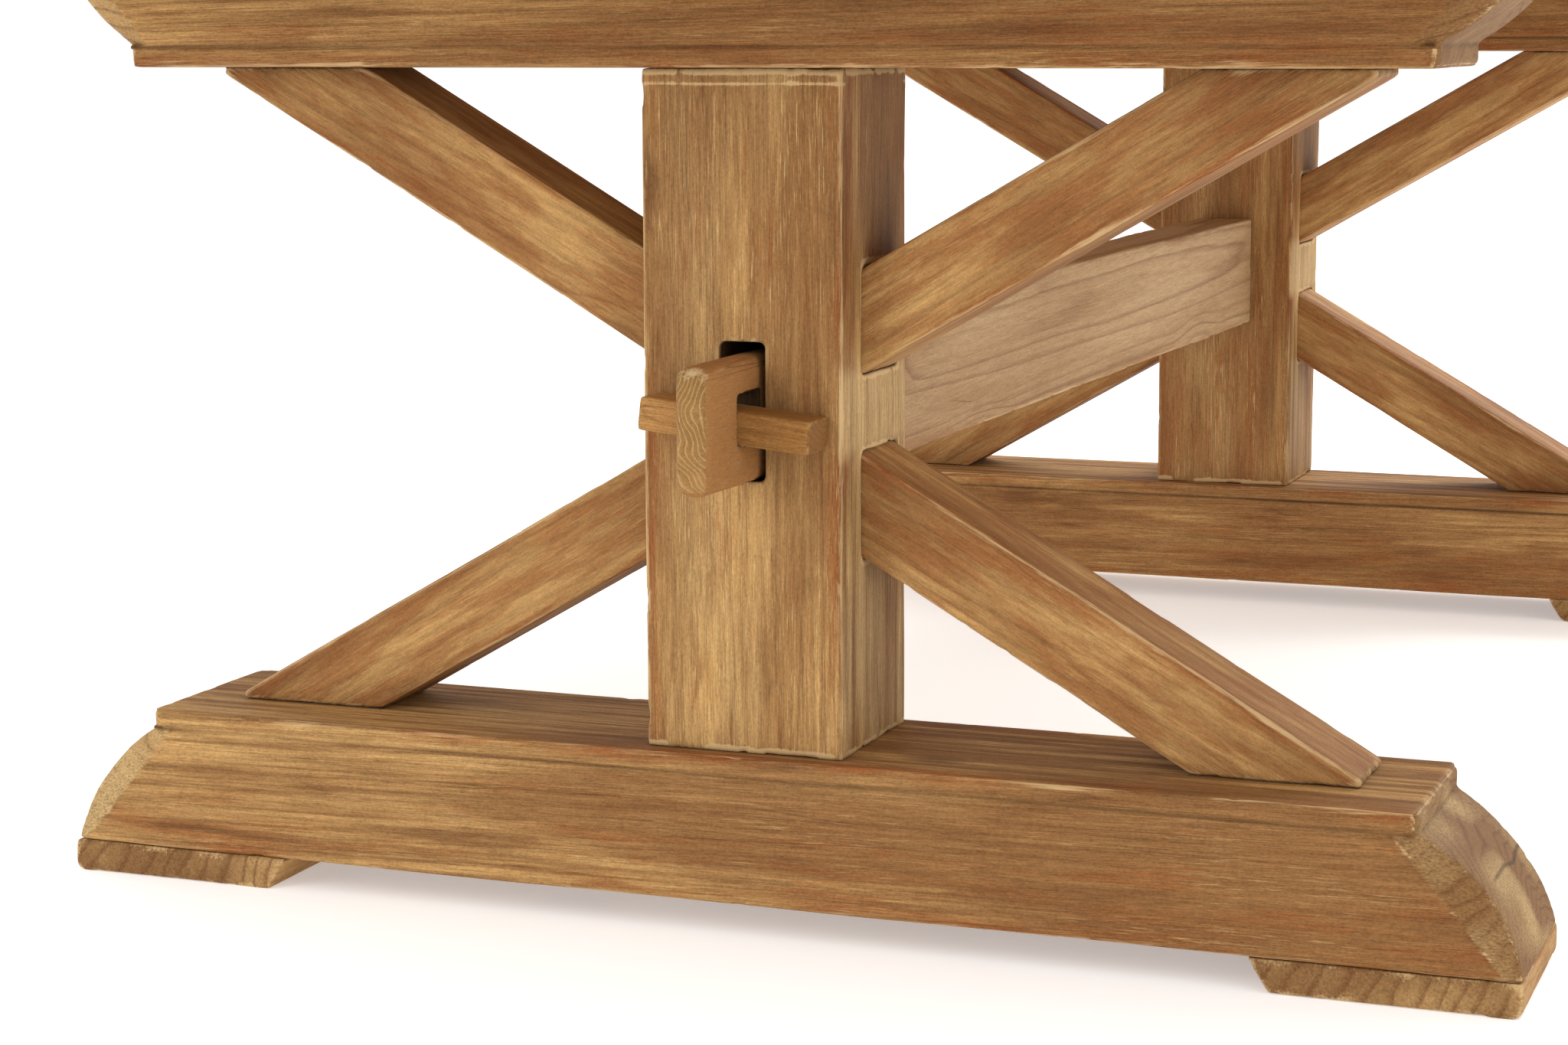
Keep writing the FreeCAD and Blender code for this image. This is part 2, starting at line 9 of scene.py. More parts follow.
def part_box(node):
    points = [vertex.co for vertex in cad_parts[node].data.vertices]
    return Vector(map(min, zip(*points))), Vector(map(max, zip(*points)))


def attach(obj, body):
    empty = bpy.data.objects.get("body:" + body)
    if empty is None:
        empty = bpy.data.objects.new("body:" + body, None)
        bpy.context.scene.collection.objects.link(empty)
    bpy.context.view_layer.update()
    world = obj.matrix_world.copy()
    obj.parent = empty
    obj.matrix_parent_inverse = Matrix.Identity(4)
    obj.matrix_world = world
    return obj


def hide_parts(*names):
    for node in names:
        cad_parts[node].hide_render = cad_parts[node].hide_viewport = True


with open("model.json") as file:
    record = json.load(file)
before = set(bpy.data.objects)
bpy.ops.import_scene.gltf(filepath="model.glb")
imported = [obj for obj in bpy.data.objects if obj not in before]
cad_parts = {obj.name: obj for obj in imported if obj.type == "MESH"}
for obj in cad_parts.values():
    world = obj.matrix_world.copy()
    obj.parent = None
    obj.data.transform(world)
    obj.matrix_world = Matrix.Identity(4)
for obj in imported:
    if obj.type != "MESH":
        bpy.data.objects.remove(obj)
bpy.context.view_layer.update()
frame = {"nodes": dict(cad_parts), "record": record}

scene = bpy.context.scene
mm = 0.001
trestles = ("front", "rear")
sides = ("left", "right")
boardNumbers = range(1, 6)
slotOf = {part["node"]: part["material_slot"] for part in frame["record"]["subparts"]}
print("frame loaded:", len(frame["nodes"]), "nodes")


# Colours are picked as sRGB hex values and handed to Blender as linear ones
def linear(hexColour):
    channels = [int(hexColour[i:i + 2], 16) / 255 for i in (1, 3, 5)]
    return [c / 12.92 if c <= 0.04045 else ((c + 0.055) / 1.055) ** 2.4 for c in channels] + [1.0]


# Adds a node with its settings, its socket values and links, and gives back one output
def addNode(tree, kind, sockets=None, take=0, stops=None, **settings):
    node = tree.nodes.new("ShaderNode" + kind)
    for name, value in settings.items():
        setattr(node, name, value)
    for key, value in (sockets or {}).items():
        if isinstance(value, bpy.types.NodeSocket):
            tree.links.new(value, node.inputs[key])
        else:
            node.inputs[key].default_value = value
    for index, (spot, shade) in enumerate(stops or []):
        ramp = node.color_ramp.elements
        stop = ramp[index] if index < len(ramp) else ramp.new(spot)
        stop.position = spot
        stop.color = (shade, shade, shade, 1)
    return node if take is None else node.outputs[take]


def calc(tree, operation, *values):
    return addNode(tree, "Math", dict(enumerate(values)), operation=operation)


def calcVector(tree, operation, *values):
    return addNode(tree, "VectorMath", dict(enumerate(values)), operation=operation)


# What lies between two values, spread over a range from 0 to 1 or over another one
def spread(tree, value, low, high, least=0.0, most=1.0, soft=False):
    return addNode(tree, "MapRange", {0: value, 1: low, 2: high, 3: least, 4: most},
                   interpolation_type="SMOOTHSTEP" if soft else "LINEAR")


# Lays one colour over another by a share
def lay(tree, share, under, over):
    under, over = [linear(colour) if isinstance(colour, str) else colour for colour in (under, over)]
    return addNode(tree, "Mix", {0: share, 6: under, 7: over}, take=2, data_type="RGBA")


# A fresh material with an empty node tree
def newMaterial(name):
    material = bpy.data.materials.new(name)
    material.use_nodes = True
    material.node_tree.nodes.clear()
    return material, material.node_tree


# The wood's marks: millimetres along and across the grain, and the noise's detail and roughness
markSizes = {
    "bend": (300, 70, 2, 0.6), "ringDrift": (700, 30, 1, 0.6), "fibre": (60, 1.1, 3, 0.6),
    "hair": (9, 0.7, 2, 0.7), "streak": (280, 4.5, 4, 0.6), "cloud": (420, 62, 4, 0.6),
    "patch": (105, 11, 5, 0.65), "blotch": (210, 25, 4, 0.6), "dash": (27, 0.8, 1, 0.6),
    "speck": (2.4, 1.3, 2, 0.7), "strip": (150, 24, 4, 0.6), "shake": (700, 20, 1, 0.6),
}
# How they show: the two values that each rises between, and its least and greatest share
markShares = {
    "swirl": (0.26, 0.0, 0.0, 3.2), "ringShare": (0.0, 1.0, 0.15, 1.0), "cloudy": (0.36, 0.64),
    "reddish": (0.50, 0.72, 0.0, 0.55), "blotchy": (0.54, 0.72, 0.0, 0.45), "streaky": (0.44, 0.68, 0.0, 0.6),
    "knotty": (0.13, 0.05, 0.0, 0.7), "arris": (0.76, 0.97), "strip": (0.50, 0.64, 0.0, 0.8),
    "drift": (0.58, 0.36), "dashes": (0.58, 0.72, 0.0, 0.7), "cutEnd": (0.16, 0.34, 0.0, 0.85),
    "bare": (0.22, 0.55), "shade": (1.0, 1.8, -0.36, 0.35), "rubbed": (1.80, 2.30, 0.0), "shake": (0.010, 0.002),
    "rare": (0.52, 0.62, 0.0, 0.35), "grime": (0.12, 0.62, 0.0, 0.88), "rough": (0.25, 0.75, 0.78, 0.60),
}
# Knots to the metre, how far the pith wanders in millimetres, how many rings drift, and each mark's weight
woodLook = {"knots": (3.0, 6.5, 6.5), "wander": 14, "ringDrift": 2.2, "hairWeight": 0.9, "speckWeight": 0.9,
            "patchRub": 1.9, "fibreRub": 0.9, "lateHeight": 0.4, "patchHeight": 0.8, "shakeHeight": -2.0,
            "bumpStrength": 0.6, "bumpDeep": 0.7, "ior": 1.5, "sheen": 0.14,
            "lateStops": [(0.0, 0.35), (1.0, 0.35), (0.06, 0.0), (0.6, 0.10), (0.92, 1.0)],
            "endStops": [(0.0, 0.0), (1.0, 0.0), (0.60, 0.05), (0.88, 1.0)]}


def readMark(tree, name):
    return addNode(tree, "Attribute", take="Vector", attribute_name=name)


# Noise whose marks have their real size
def grainNoise(tree, grain, mark, take=0):
    along, across, detail, roughness = markSizes[mark]
    spot = calcVector(tree, "MULTIPLY", grain, (1 / (along * mm), 1 / (across * mm), 1 / (across * mm)))
    return addNode(tree, "TexNoise", {"Vector": spot, "Scale": 1, "Detail": detail, "Roughness": roughness}, take)


# Planed wood, stained and sanded back by hand. The eye gets growth rings that run true round every corner, fine
# fibre streaks, cloudy stain, and pale bare wood on the rubbed arrises.
def weatheredWood(look):
    material, tree = newMaterial(look["name"])
    grain, place = readMark(tree, "grain"), readMark(tree, "place")
    worn, tint, fleck = [addNode(tree, "SeparateXYZ", {0: readMark(tree, name)}, take=None).outputs
                         for name in ("worn", "tint", "fleck")]

    # A few small knots, which push the rings round them
    knotAt = calcVector(tree, "MULTIPLY", grain, woodLook["knots"])
    knot = addNode(tree, "TexVoronoi", {"Vector": knotAt, "Scale": 1, "Randomness": 1})
    swirl = spread(tree, knot, *markShares["swirl"], soft=True)
    # Growth rings round a wandering pith
    bend = calcVector(tree, "SUBTRACT", grainNoise(tree, grain, "bend", take=1), (0.5, 0.5, 0.5))
    bend = calcVector(tree, "MULTIPLY_ADD", bend, (0, woodLook["wander"] * mm, woodLook["wander"] * mm), grain)
    rings = calcVector(tree, "MULTIPLY", bend, (0, 1, 1))
    rings = addNode(tree, "VectorMath", {0: rings}, take="Value", operation="LENGTH")
    rings = calc(tree, "MULTIPLY_ADD", rings, 1 / (look["ringGap"] * mm), swirl)
    rings = calc(tree, "MULTIPLY_ADD", grainNoise(tree, grain, "ringDrift"), woodLook["ringDrift"], rings)
    phase = calc(tree, "FRACT", rings)
    lateWood = addNode(tree, "ValToRGB", {0: phase}, stops=woodLook["lateStops"])
    ringShare = calc(tree, "FLOOR", rings)
    ringShare = addNode(tree, "TexWhiteNoise", {"W": ringShare}, noise_dimensions="1D")
    ringShare = spread(tree, ringShare, *markShares["ringShare"])
    lateWood = calc(tree, "MULTIPLY", lateWood, ringShare)

    fibre, hair, streak, cloud, patch, blotch, dash, speck = [
        grainNoise(tree, grain, mark)
        for mark in ("fibre", "hair", "streak", "cloud", "patch", "blotch", "dash", "speck")]

    # Cloudy stain in long drifts, with redder and darker ones among them, then rings and knots
    cloudy = calc(tree, "ADD", cloud, tint["X"])
    cloudy = spread(tree, cloudy, *markShares["cloudy"], soft=True)
    colour = lay(tree, cloudy, look["honey"], look["brown"])
    reddish = calc(tree, "ADD", patch, tint["Y"])
    reddish = spread(tree, reddish, *markShares["reddish"], soft=True)
    colour = lay(tree, reddish, colour, look["russet"])
    blotchy = spread(tree, blotch, *markShares["blotchy"], soft=True)
    blotchy = calc(tree, "MULTIPLY", blotchy, fleck["Y"])
    colour = lay(tree, blotchy, colour, look["late"])
    streaky = spread(tree, streak, *markShares["streaky"])
    streaky = calc(tree, "MULTIPLY", streaky, fleck["Y"])
    colour = lay(tree, streaky, colour, look["streak"])
    ringy = calc(tree, "MULTIPLY", lateWood, look["ringStrength"])
    colour = lay(tree, ringy, colour, look["late"])
    knotty = spread(tree, knot, *markShares["knotty"], soft=True)
    colour = lay(tree, knotty, colour, look["late"])

    # Deeper stain in strips beside the arrises
    arris = calcVector(tree, "ABSOLUTE", place)
    arris = addNode(tree, "SeparateXYZ", {0: arris}, take=None).outputs
    arris = calc(tree, "MINIMUM", arris["Y"], arris["Z"])
    arris = spread(tree, arris, *markShares["arris"], soft=True)
    strip = spread(tree, grainNoise(tree, grain, "strip"), *markShares["strip"])
    strip = calc(tree, "MULTIPLY", strip, arris)
    colour = lay(tree, strip, colour, look["russet"])

    # Pale dashes where the sanding broke through, in drifts
    drift = spread(tree, blotch, *markShares["drift"])
    dashes = spread(tree, dash, *markShares["dashes"])
    dashes = calc(tree, "MULTIPLY", dashes, drift)
    dashes = calc(tree, "MULTIPLY", dashes, fleck["X"])
    colour = lay(tree, dashes, colour, look["dash"])

    # Cut ends: duller, with the rings as thin arcs
    cutEnd = spread(tree, worn["Z"], *markShares["cutEnd"], soft=True)
    endRing = calc(tree, "MULTIPLY", rings, look["endDense"])
    endRing = calc(tree, "FRACT", endRing)
    endRing = addNode(tree, "ValToRGB", {0: endRing}, stops=woodLook["endStops"])
    endRing = calc(tree, "MULTIPLY", endRing, look["endRing"])
    endWood = lay(tree, cloudy, look["endPale"], look["endDark"])
    endWood = lay(tree, endRing, endWood, look["endLine"])
    colour = lay(tree, cutEnd, colour, endWood)

    # Faces left bare of stain, fibrous and olive
    bareShare = spread(tree, fibre, *markShares["bare"])
    bareShare = calc(tree, "MULTIPLY", bareShare, tint["Z"])
    colour = lay(tree, bareShare, colour, look["bare"])

    # Fibres, drawn a little coarser than life so that they show
    fine = calc(tree, "MULTIPLY_ADD", hair, woodLook["hairWeight"], fibre)
    fine = calc(tree, "MULTIPLY_ADD", speck, woodLook["speckWeight"], fine)
    shade = spread(tree, fine, *markShares["shade"])
    shade = calc(tree, "MULTIPLY_ADD", shade, fleck["Z"], 1.0)
    colour = addNode(tree, "VectorMath", {0: colour, "Scale": shade}, operation="SCALE")

    # Rubbed arrises, ragged and broken
    ragged = calc(tree, "MULTIPLY_ADD", patch, woodLook["patchRub"], worn["X"])
    ragged = calc(tree, "MULTIPLY_ADD", fibre, woodLook["fibreRub"], ragged)
    rubbed = spread(tree, ragged, *markShares["rubbed"], look["rub"], soft=True)
    colour = lay(tree, rubbed, colour, look["pale"])

    # Fine shakes along the grain, and grime with painted shade in the inner corners, the quirks, the slots and
    # keyholes and beside other timbers
    shake = calc(tree, "SUBTRACT", grainNoise(tree, grain, "shake"), 0.5)
    shake = calc(tree, "ABSOLUTE", shake)
    shake = spread(tree, shake, *markShares["shake"])
    rare = spread(tree, cloud, *markShares["rare"])
    rare = calc(tree, "MULTIPLY", rare, calc(tree, "SUBTRACT", 1.0, cutEnd))
    shake = calc(tree, "MULTIPLY", shake, rare)
    grime = spread(tree, worn["Y"], *markShares["grime"], soft=True)
    grime = calc(tree, "MAXIMUM", grime, shake)
    colour = lay(tree, grime, colour, look["grime"])

    rough = spread(tree, fibre, *markShares["rough"])
    height = calc(tree, "MULTIPLY_ADD", lateWood, woodLook["lateHeight"], fine)
    height = calc(tree, "MULTIPLY_ADD", patch, woodLook["patchHeight"], height)
    height = calc(tree, "MULTIPLY_ADD", shake, woodLook["shakeHeight"], height)
    bump = addNode(tree, "Bump", {"Height": height, "Strength": woodLook["bumpStrength"],
                                  "Distance": woodLook["bumpDeep"] * mm})
    shader = addNode(tree, "BsdfPrincipled", {"Base Color": colour, "Roughness": rough, "Normal": bump,
                                              "IOR": woodLook["ior"], "Specular IOR Level": woodLook["sheen"]})
    addNode(tree, "OutputMaterial", {"Surface": shader}, take=None)
    return material


# The gap between rings is in millimetres
woodLooks = {
    # Reclaimed pine in a honey stain: warm and mottled, pale where it is rubbed
    "trestle_pine": {
        "name": "stainedPineTrestle", "honey": "#BE955D", "brown": "#8E653B", "streak": "#7C5530",
        "late": "#613C20", "russet": "#884A22", "dash": "#D4B57C", "pale": "#CCAC7C", "endPale": "#AE8A5A",
        "endDark": "#805D38", "bare": "#BC9E6C", "grime": "#24150B", "endLine": "#613A1D", "endDense": 1,
        "ringGap": 8.0, "ringStrength": 0.36, "endRing": 0.65, "rub": 0.8},
    # The same pine, greyer and with wide rings. Its tenons are stained darker, with pale lines in their ends.
    "stretcher_pine": {
        "name": "stainedPineStretcher", "honey": "#BA9B73", "brown": "#A98660", "streak": "#9A7651",
        "late": "#764F32", "russet": "#9A6E47", "dash": "#CFB084", "pale": "#CDB388", "endPale": "#9E7440",
        "endDark": "#84602F", "bare": "#A07040", "grime": "#24150B", "endLine": "#CBA56C", "endDense": 3.2,
        "ringGap": 13.0, "ringStrength": 0.6, "endRing": 0.6, "rub": 0.75},
    # Pine split for the wedges: close rings and an even stain
    "wedge_pine": {
        "name": "stainedPineWedge", "honey": "#B98A52", "brown": "#976A38", "streak": "#85592A",
        "late": "#6C431C", "russet": "#86501F", "dash": "#CFAE6E", "pale": "#C9A66E", "endPale": "#A07846",
        "endDark": "#82592E", "bare": "#BDA478", "grime": "#24150B", "endLine": "#6C431C", "endDense": 1,
        "ringGap": 5.0, "ringStrength": 0.3, "endRing": 0.5, "rub": 0.45},
    # Pine planks, waxed: clearer rings and less wear
    "top_pine": {
        "name": "stainedPineTop", "honey": "#BC9562", "brown": "#966C43", "streak": "#845A34",
        "late": "#663D20", "russet": "#8C4E25", "dash": "#D2B176", "pale": "#CBAB7C", "endPale": "#AE8B60",
        "endDark": "#84623E", "bare": "#BDA478", "grime": "#24150B", "endLine": "#663D20", "endDense": 1,
        "ringGap": 7.0, "ringStrength": 0.45, "endRing": 0.65, "rub": 0.65},
    # Oiled oak end grain: small dark dots in the top
    "peg_oak": {
        "name": "oiledOakPegs", "honey": "#8F6A40", "brown": "#6E4C2A", "streak": "#5C3D20",
        "late": "#4A2F18", "russet": "#6A4020", "dash": "#A98A5C", "pale": "#A88B60", "endPale": "#80603A",
        "endDark": "#5E4224", "bare": "#A08358", "grime": "#1E120A", "endLine": "#4A2F18", "endDense": 1,
        "ringGap": 2.2, "ringStrength": 0.4, "endRing": 0.7, "rub": 0.5},
    # Bare turned beech: pale and plain
    "dowel_beech": {
        "name": "bareTurnedBeech", "honey": "#D8B78C", "brown": "#C9A377", "streak": "#BC9468",
        "late": "#A87E54", "russet": "#BE8E66", "dash": "#E2C9A2", "pale": "#E2CBA8", "endPale": "#CBA87C",
        "endDark": "#B08C62", "bare": "#DCC098", "grime": "#4A3420", "endLine": "#A87E54", "endDense": 1,
        "ringGap": 2.5, "ringStrength": 0.25, "endRing": 0.4, "rub": 0.4},
}
woods = {slot: weatheredWood(look) for slot, look in woodLooks.items()}

# Crystals and smears are in millimetres
zincLook = {"crystal": 1.6, "smear": 5, "smearDetail": 4, "crystalWeight": 0.35, "shade": (0.35, 0.95),
            "edge": (0.52, 0.60, 0.0, 0.6), "rough": (0.0, 1.0, 0.52, 0.34), "bumpStrength": 0.25, "bumpDeep": 0.2,
            "dull": "#8E9092", "bright": "#C4C6C6", "rubbed": "#D8D8D4"}


# Zinc-plated steel, bright-dipped and handled: a dull silver with faint crystal patches and rubbed edges
def zincPlatedSteel(look):
    material, tree = newMaterial("zincPlatedSteel")
    spot = addNode(tree, "TexCoord", take="Object")
    crystal = addNode(tree, "TexVoronoi", {"Vector": spot, "Scale": 1 / (look["crystal"] * mm)}, take="Color")
    crystal = addNode(tree, "SeparateXYZ", {0: crystal})
    smear = addNode(tree, "TexNoise", {"Vector": spot, "Scale": 1 / (look["smear"] * mm),
                                       "Detail": look["smearDetail"]})
    shade = calc(tree, "MULTIPLY_ADD", crystal, look["crystalWeight"], smear)
    shade = spread(tree, shade, *look["shade"])
    colour = lay(tree, shade, look["dull"], look["bright"])
    edge = addNode(tree, "NewGeometry", take="Pointiness")
    edge = spread(tree, edge, *look["edge"])
    colour = lay(tree, edge, colour, look["rubbed"])
    rough = spread(tree, shade, *look["rough"])
    bump = addNode(tree, "Bump", {"Height": smear, "Strength": look["bumpStrength"],
                                  "Distance": look["bumpDeep"] * mm})
    shader = addNode(tree, "BsdfPrincipled", {"Base Color": colour, "Metallic": 1.0, "Roughness": rough,
                                              "Normal": bump})
    addNode(tree, "OutputMaterial", {"Surface": shader}, take=None)
    return material


zincSteel = zincPlatedSteel(zincLook)
print("materials mixed:", len(woods) + 1)


# Smooth random numbers from 0 to 1 at points of a lattice one unit wide
def latticeNoise(points, seed):
    cell = np.floor(points).astype(np.int64)
    part = points - cell
    part = part * part * (3 - 2 * part)
    total = np.zeros(len(points))
    for corner in range(8):
        step = np.array([corner & 1, corner >> 1 & 1, corner >> 2 & 1])
        spot = cell + step
        mix = spot[:, 0] * 73856093 ^ spot[:, 1] * 19349663 ^ spot[:, 2] * 83492791 ^ seed * 2654435761
        mix = (mix ^ mix >> 13) * 1274126177 & 0x7FFFFFFF
        mix = (mix ^ mix >> 16) & 0xFFFF
        total += np.prod(np.where(step, part, 1 - part), axis=1) * mix / 0xFFFF
    return total


# Rises from 0 to 1 between two values
def ramp(values, low, high):
    return np.clip((values - low) / (high - low), 0, 1)


# How wear works on every timber; lengths in millimetres along and across the grain
skinLook = {"pull": 0.6, "depth": 0.56, "sway": (90, 30, 30), "swayRise": (0.2, 0.8), "chip": (17, 9, 9),
            "chipSeed": 50, "chipRise": 0.12, "hollowShare": 0.15, "contactGrimeAndShade": 0.7, "contactReach": (2.0, 0.3),
            "farthest": 1.0, "grimeAndShadeRounds": 2, "keepMoved": 0.03, "keepMark": 0.04, "keepSpare": 1.03,
            "keepLeast": 200, "grainStep": 3.7}


# Each point moves towards the mean of its neighbours, over and over
def relax(points, edges, rounds):
    count = len(points)
    links = np.bincount(edges.ravel(), minlength=count)
    for turn in range(rounds):
        mean = np.empty_like(points)
        for axis in range(points.shape[1]):
            mean[:, axis] = (np.bincount(edges[:, 0], points[edges[:, 1], axis], count)
                             + np.bincount(edges[:, 1], points[edges[:, 0], axis], count)) / links
        points = (1 - skinLook["pull"]) * points + skinLook["pull"] * mean
    return points


def evaluated(holder):
    graph = bpy.context.evaluated_depsgraph_get()
    return bpy.data.meshes.new_from_object(holder.evaluated_get(graph))


def readVectors(items, field, count):
    values = np.empty(count * 3, np.float32)
    items.foreach_get(field, values)
    return values.reshape(-1, 3).astype(float)


def storeVectors(mesh, name, values):
    layer = mesh.attributes.get(name) or mesh.attributes.new(name, "FLOAT_VECTOR", "POINT")
    layer.data.foreach_set("vector", np.asarray(values, np.float32).ravel())


def turned(points, matrix):
    matrix = np.array(matrix)
    return points @ matrix[:3, :3].T + matrix[:3, 3]


# Turns that lay a timber's grain along the first axis, and the timbers that each one meets
grainAlong = {"x": Matrix.Identity(4), "y": Matrix.Rotation(math.radians(-90), 4, "Z"),
              "z": Matrix.Rotation(math.radians(90), 4, "Y")}
braceTurn, wedgeTilt = math.radians(30), math.radians(5.7)
toGrain, neighbours = {"stretcher": grainAlong["y"]}, {"stretcher": ["post_front", "post_rear"]}
for end in trestles:
    toGrain[f"wedge_{end}"] = Matrix.Rotation(-wedgeTilt if end == "front" else wedgeTilt, 4, "Y")
    toGrain[f"post_{end}"] = grainAlong["z"]
    toGrain[f"breadboard_{end}"] = grainAlong["x"]
    toGrain[f"breadboard_pegs_{end}"] = grainAlong["z"]
    toGrain[f"brace_dowels_{end}"] = grainAlong["z"]
    neighbours[f"post_{end}"] = [f"foot_{end}", f"cleat_{end}"]
    for beam, level in (("foot", "lower"), ("cleat", "upper")):
        toGrain[f"{beam}_{end}"] = grainAlong["x"]
        neighbours[f"{beam}_{end}"] = [f"post_{end}"]
        for side in sides:
            brace = f"brace_{end}_{level}_{side}"
            rising = (side == "left") == (level == "lower")
            toGrain[brace] = Matrix.Rotation(braceTurn if rising else -braceTurn, 4, "Y")
            neighbours[brace] = [f"post_{end}", f"{beam}_{end}"]
            neighbours[f"post_{end}"].append(brace)
            neighbours[f"{beam}_{end}"].append(brace)
    for side in sides:
        toGrain[f"foot_pad_{end}_{side}"] = grainAlong["y"]
        neighbours[f"foot_pad_{end}_{side}"] = [f"foot_{end}"]
        neighbours[f"foot_{end}"].append(f"foot_pad_{end}_{side}")
for board in boardNumbers:
    toGrain[f"top_board_{board}"] = grainAlong["y"]
    beside = [other for other in (board - 1, board + 1) if other in boardNumbers]
    neighbours[f"top_board_{board}"] = [f"top_board_{other}" for other in beside]


# How far points are from a node's own box, in metres; nothing inside it
def boxGap(points, node):
    mesh = frame["nodes"][node].data
    corners = turned(readVectors(mesh.vertices, "co", len(mesh.vertices)), toGrain[node])
    own = turned(points, toGrain[node])
    outside = np.maximum(np.maximum(corners.min(0) - own, own - corners.max(0)), 0)
    return np.linalg.norm(outside, axis=1)


# A timber with the wear of use: a fine skin over the sharp shape, its arrises rounded here more and there less,
# with chips knocked out, and its flats thinned to few faces again
def wearTimber(node, body, look, offset=0, mesh=None, finish=None):
    seed, cell, stretch = look["seed"] + offset, look["cell"] * mm, look.get("stretch", 1)
    mesh = mesh or frame["nodes"][node].data.copy()
    mesh.transform(Matrix.Diagonal((1 / stretch, 1, 1, 1)) @ toGrain[node])
    holder = bpy.data.objects.new(node, mesh)
    scene.collection.objects.link(holder)
    skin = holder.modifiers.new("skin", "REMESH")
    skin.mode = "VOXEL"
    skin.voxel_size = cell
    fine = evaluated(holder)
    holder.modifiers.remove(skin)
    holder.data = fine
    fine.transform(Matrix.Diagonal((stretch, 1, 1, 1)))

    # The sharp skin, the eased one and the well-rubbed one, and how much of the last each point gets
    sharp = readVectors(fine.vertices, "co", len(fine.vertices))
    normal = readVectors(fine.vertex_normals, "vector", len(fine.vertices))
    edges = np.empty(len(fine.edges) * 2, np.int32)
    fine.edges.foreach_get("vertices", edges)
    edges = edges.reshape(-1, 2)
    low, high = sharp.min(0), sharp.max(0)
    middle, half = (low + high) / 2, (high - low) / 2
    rounds = [max(1, round(2 * (look[reach] / look["cell"]) ** 2 / skinLook["pull"]))
              for reach in ("eased", "rubbed")]
    eased = relax(sharp, edges, rounds[0])
    rubbed = relax(eased, edges, max(1, rounds[1] - rounds[0]))
    inward = np.einsum("ij,ij->i", sharp - rubbed, normal)
    most = skinLook["depth"] * look["rubbed"] * mm
    sway = latticeNoise(sharp / (np.array(skinLook["sway"]) * mm), seed)
    chip = latticeNoise(sharp / (np.array(skinLook["chip"]) * mm), seed + skinLook["chipSeed"])
    chipped = ramp(chip, look["chipFrom"], look["chipFrom"] + skinLook["chipRise"])
    share = ramp(sway, *skinLook["swayRise"]) * look["share"] + chipped * look["chip"]
    share = np.where(inward < 0, skinLook["hollowShare"] * share, share)

    # The marks of each point, which a piece's own finish can change
    world = turned(sharp, toGrain[node].inverted())
    touch = np.full(len(sharp), skinLook["farthest"])
    for other in neighbours.get(node, []):
        gap = boxGap(world, other)
        touch = np.where(gap > 0, np.minimum(touch, gap), touch)
    # Grime and painted shade: darker in hollows and close to the timbers that this one meets
    contactGrimeShade = skinLook["contactGrimeAndShade"] * ramp(touch / mm, *skinLook["contactReach"])
    work = {"own": (sharp - middle) / mm, "world": world / mm, "edges": edges, "eased": eased,
            "placed": eased + (rubbed - eased) * share[:, None], "wear": ramp(inward / most, 0, 1),
            "grime": np.maximum(ramp(-inward / most, 0, 1), contactGrimeShade),
            "touch": touch / mm, "cutEnd": np.abs(normal[:, 0]),
            "tone": np.zeros(len(sharp)), "red": np.zeros(len(sharp)), "bare": np.zeros(len(sharp))}
    if finish:
        finish(node, work)
    work["grime"] = relax(work["grime"][:, None], edges, skinLook["grimeAndShadeRounds"])[:, 0]
    fine.vertices.foreach_set("co", work["placed"].astype(np.float32).ravel())
    fine.update()
    storeVectors(fine, "worn", np.column_stack([work["wear"], work["grime"], work["cutEnd"]]))
    storeVectors(fine, "tint", np.column_stack([work["tone"], work["red"], work["bare"]]))

    # Faces stay fine where the shape or a mark changes
    near = np.linalg.norm(rubbed - sharp, axis=1) > skinLook["keepMoved"] * most
    for mark in ("wear", "grime", "cutEnd", "tone", "red", "bare"):
        change = np.abs(work[mark][edges[:, 0]] - work[mark][edges[:, 1]]) > skinLook["keepMark"]
        near[edges[change].ravel()] = True
    near[edges[near[edges[:, 0]] | near[edges[:, 1]]].ravel()] = True
    flats = holder.vertex_groups.new(name="flats")
    flats.add(np.nonzero(~near)[0].tolist(), 1, "REPLACE")
    thin = holder.modifiers.new("thin", "DECIMATE")
    thin.ratio = min(1, (near.sum() * skinLook["keepSpare"] + skinLook["keepLeast"]) / len(near))
    thin.vertex_group = "flats"
    worn = evaluated(holder)
    bpy.data.objects.remove(holder)

    # Where each point lies in its timber, for the wood
    own = readVectors(worn.vertices, "co", len(worn.vertices)) - middle
    storeVectors(worn, "place", own / half)
    tint = readVectors(worn.attributes["tint"].data, "vector", len(worn.vertices))
    for column, mark in enumerate(("tone", "red", "bare")):
        tint[:, column] += look.get(mark, 0) + own / half @ look.get(mark + "Slope", (0, 0, 0))
    storeVectors(worn, "tint", tint)
    storeVectors(worn, "fleck", np.tile(look.get("fleck", (1, 1, 1)), (len(own), 1)))
    grain = own - np.array([0, *look["pith"]]) * mm - own[:, :1] * np.array([0, *look.get("lean", (0, 0))])
    longScale, ringScale = look.get("longScale", 1), look.get("ringScale", 1)
    grain = grain * (longScale, ringScale, ringScale) + (skinLook["grainStep"] * seed, 0, 0)
    storeVectors(worn, "grain", grain)
    worn.transform(toGrain[node].inverted())
    worn.polygons.foreach_set("use_smooth", [True] * len(worn.polygons))
    worn.materials.clear()
    worn.materials.append(woods[slotOf[node]])
    worn.update()
    piece = bpy.data.objects.new("worn_" + node, worn)
    scene.collection.objects.link(piece)
    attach(piece, body)
    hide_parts(node)
    print(f"{node}: {len(worn.polygons)} faces")


